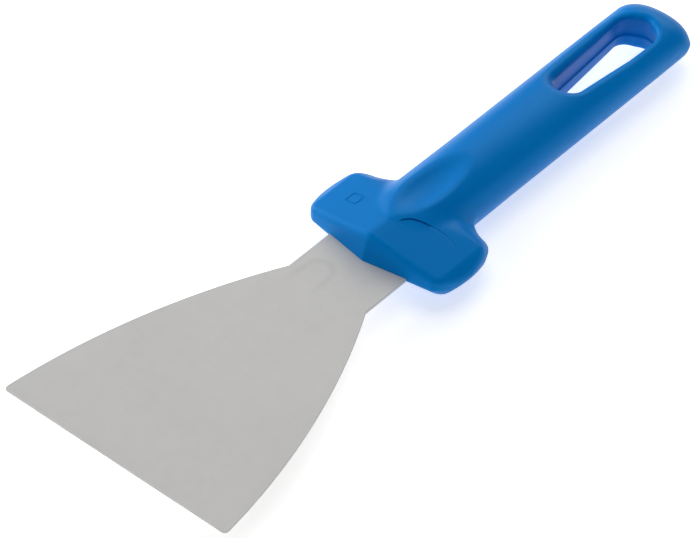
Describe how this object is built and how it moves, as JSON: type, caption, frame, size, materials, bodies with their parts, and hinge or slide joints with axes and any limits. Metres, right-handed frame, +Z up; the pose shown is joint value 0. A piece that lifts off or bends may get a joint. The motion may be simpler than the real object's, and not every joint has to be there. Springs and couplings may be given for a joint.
{
  "type": "flexible putty knife",
  "caption": "Flexible putty knife: a flared, taper-ground sheet blade whose tang is moulded into a winged plastic handle with a thumb recess and a hanging slot.",
  "frame": {"origin": "under the middle of the knife, level with its lowest point, the knife lying with its blade plane horizontal", "axes": "+X from the working edge to the hanging end, +Y to the left seen from the working edge's side, +Z up, out of the face that carries the badge"},
  "size_m": [0.2942, 0.0996, 0.0235],
  "materials": {
    "blade": "satin, finely ground stainless spring steel",
    "handle": "satin moulded polypropylene, mid blue"
  },
  "bodies": {
    "root": {"blade": "blade", "handle": "handle"}
  },
  "joints": []
}
